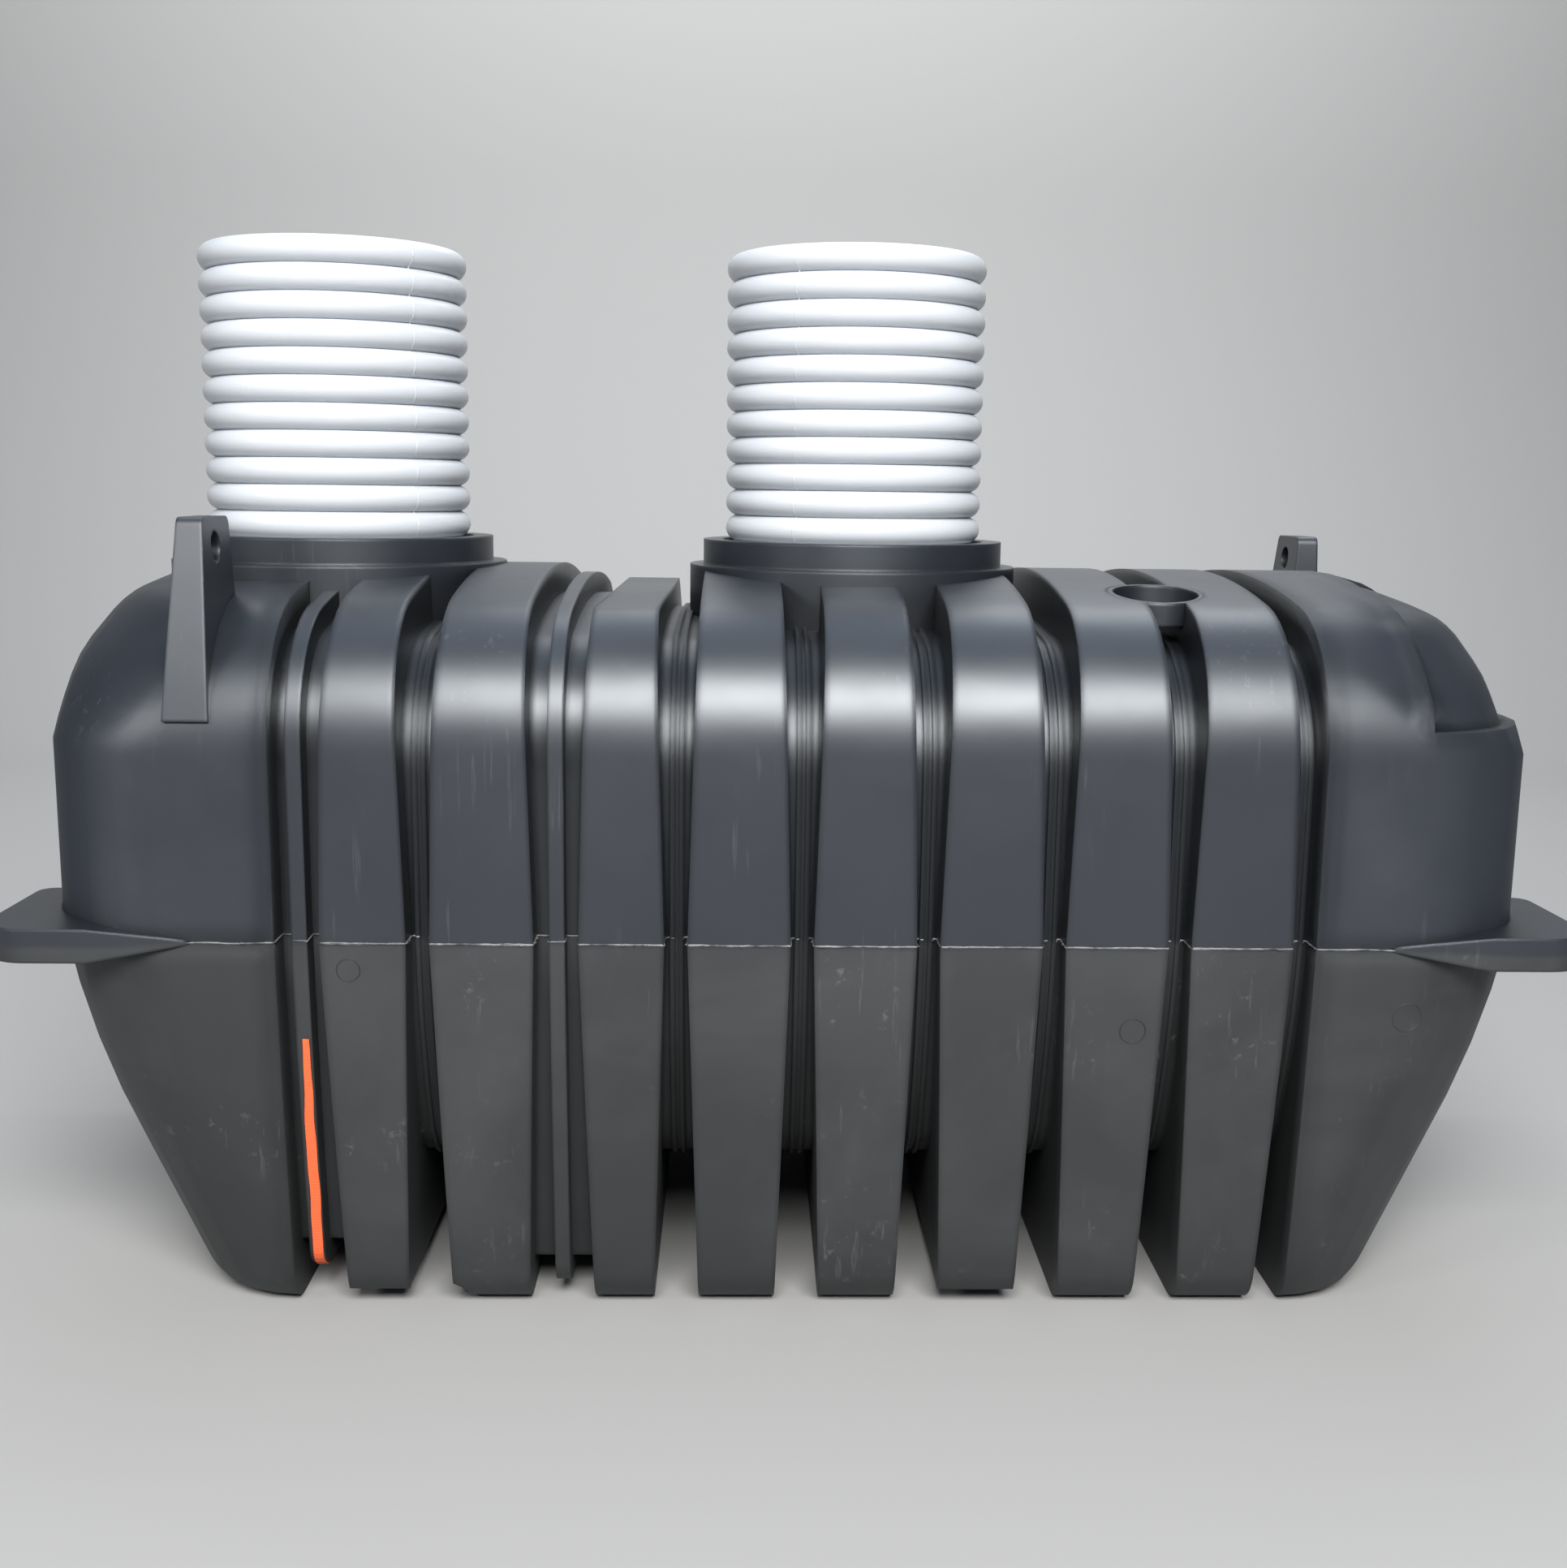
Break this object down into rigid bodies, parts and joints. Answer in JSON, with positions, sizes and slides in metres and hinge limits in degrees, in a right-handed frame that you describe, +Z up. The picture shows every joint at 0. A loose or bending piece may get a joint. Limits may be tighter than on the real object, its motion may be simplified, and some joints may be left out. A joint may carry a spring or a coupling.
{
  "type": "septic tank",
  "caption": "Ribbed black plastic septic tank for burying, with domed ends, lifting lugs, corner ears and tall white corrugated access risers.",
  "frame": {"origin": "middle of the tank on the floor", "axes": "+X along the tank towards the end with the pocket, +Y to the back, +Z up"},
  "size_m": [2.36, 1.16, 1.628],
  "materials": {
    "shell_upper": "black rotomoulded polyethylene with a soft sheen",
    "shell_lower": "black rotomoulded polyethylene, dull and scuffed below the seam",
    "ribbed_shell": "black rotomoulded polyethylene, soft sheen above the seam and dull below",
    "moulded_fitting": "black moulded polyethylene",
    "riser_white": "cool white satin corrugated pipe",
    "strap_orange": "woven orange webbing"
  },
  "bodies": {
    "root": {"end_left_upper": "shell_upper", "end_right_upper": "shell_upper", "end_left_lower": "shell_lower", "end_right_lower": "shell_lower", "rib_1": "ribbed_shell", "rib_2": "ribbed_shell", "rib_3": "ribbed_shell", "rib_4": "ribbed_shell", "rib_5": "ribbed_shell", "rib_6": "ribbed_shell", "rib_7": "ribbed_shell", "rib_8": "ribbed_shell", "band_1": "ribbed_shell", "band_2": "ribbed_shell", "band_3": "ribbed_shell", "band_4": "ribbed_shell", "band_5": "ribbed_shell", "band_6": "ribbed_shell", "band_7": "ribbed_shell", "band_8": "ribbed_shell", "band_9": "ribbed_shell", "hoop_left": "moulded_fitting", "hoop_mid": "moulded_fitting", "neck_left": "moulded_fitting", "neck_right": "moulded_fitting", "ear_front_left": "moulded_fitting", "ear_front_right": "moulded_fitting", "ear_back_left": "moulded_fitting", "ear_back_right": "moulded_fitting", "port": "moulded_fitting", "foot_nub": "moulded_fitting", "lug_front": "moulded_fitting", "lug_back": "moulded_fitting", "riser_left": "riser_white", "riser_right": "riser_white", "strap": "strap_orange"}
  },
  "joints": []
}
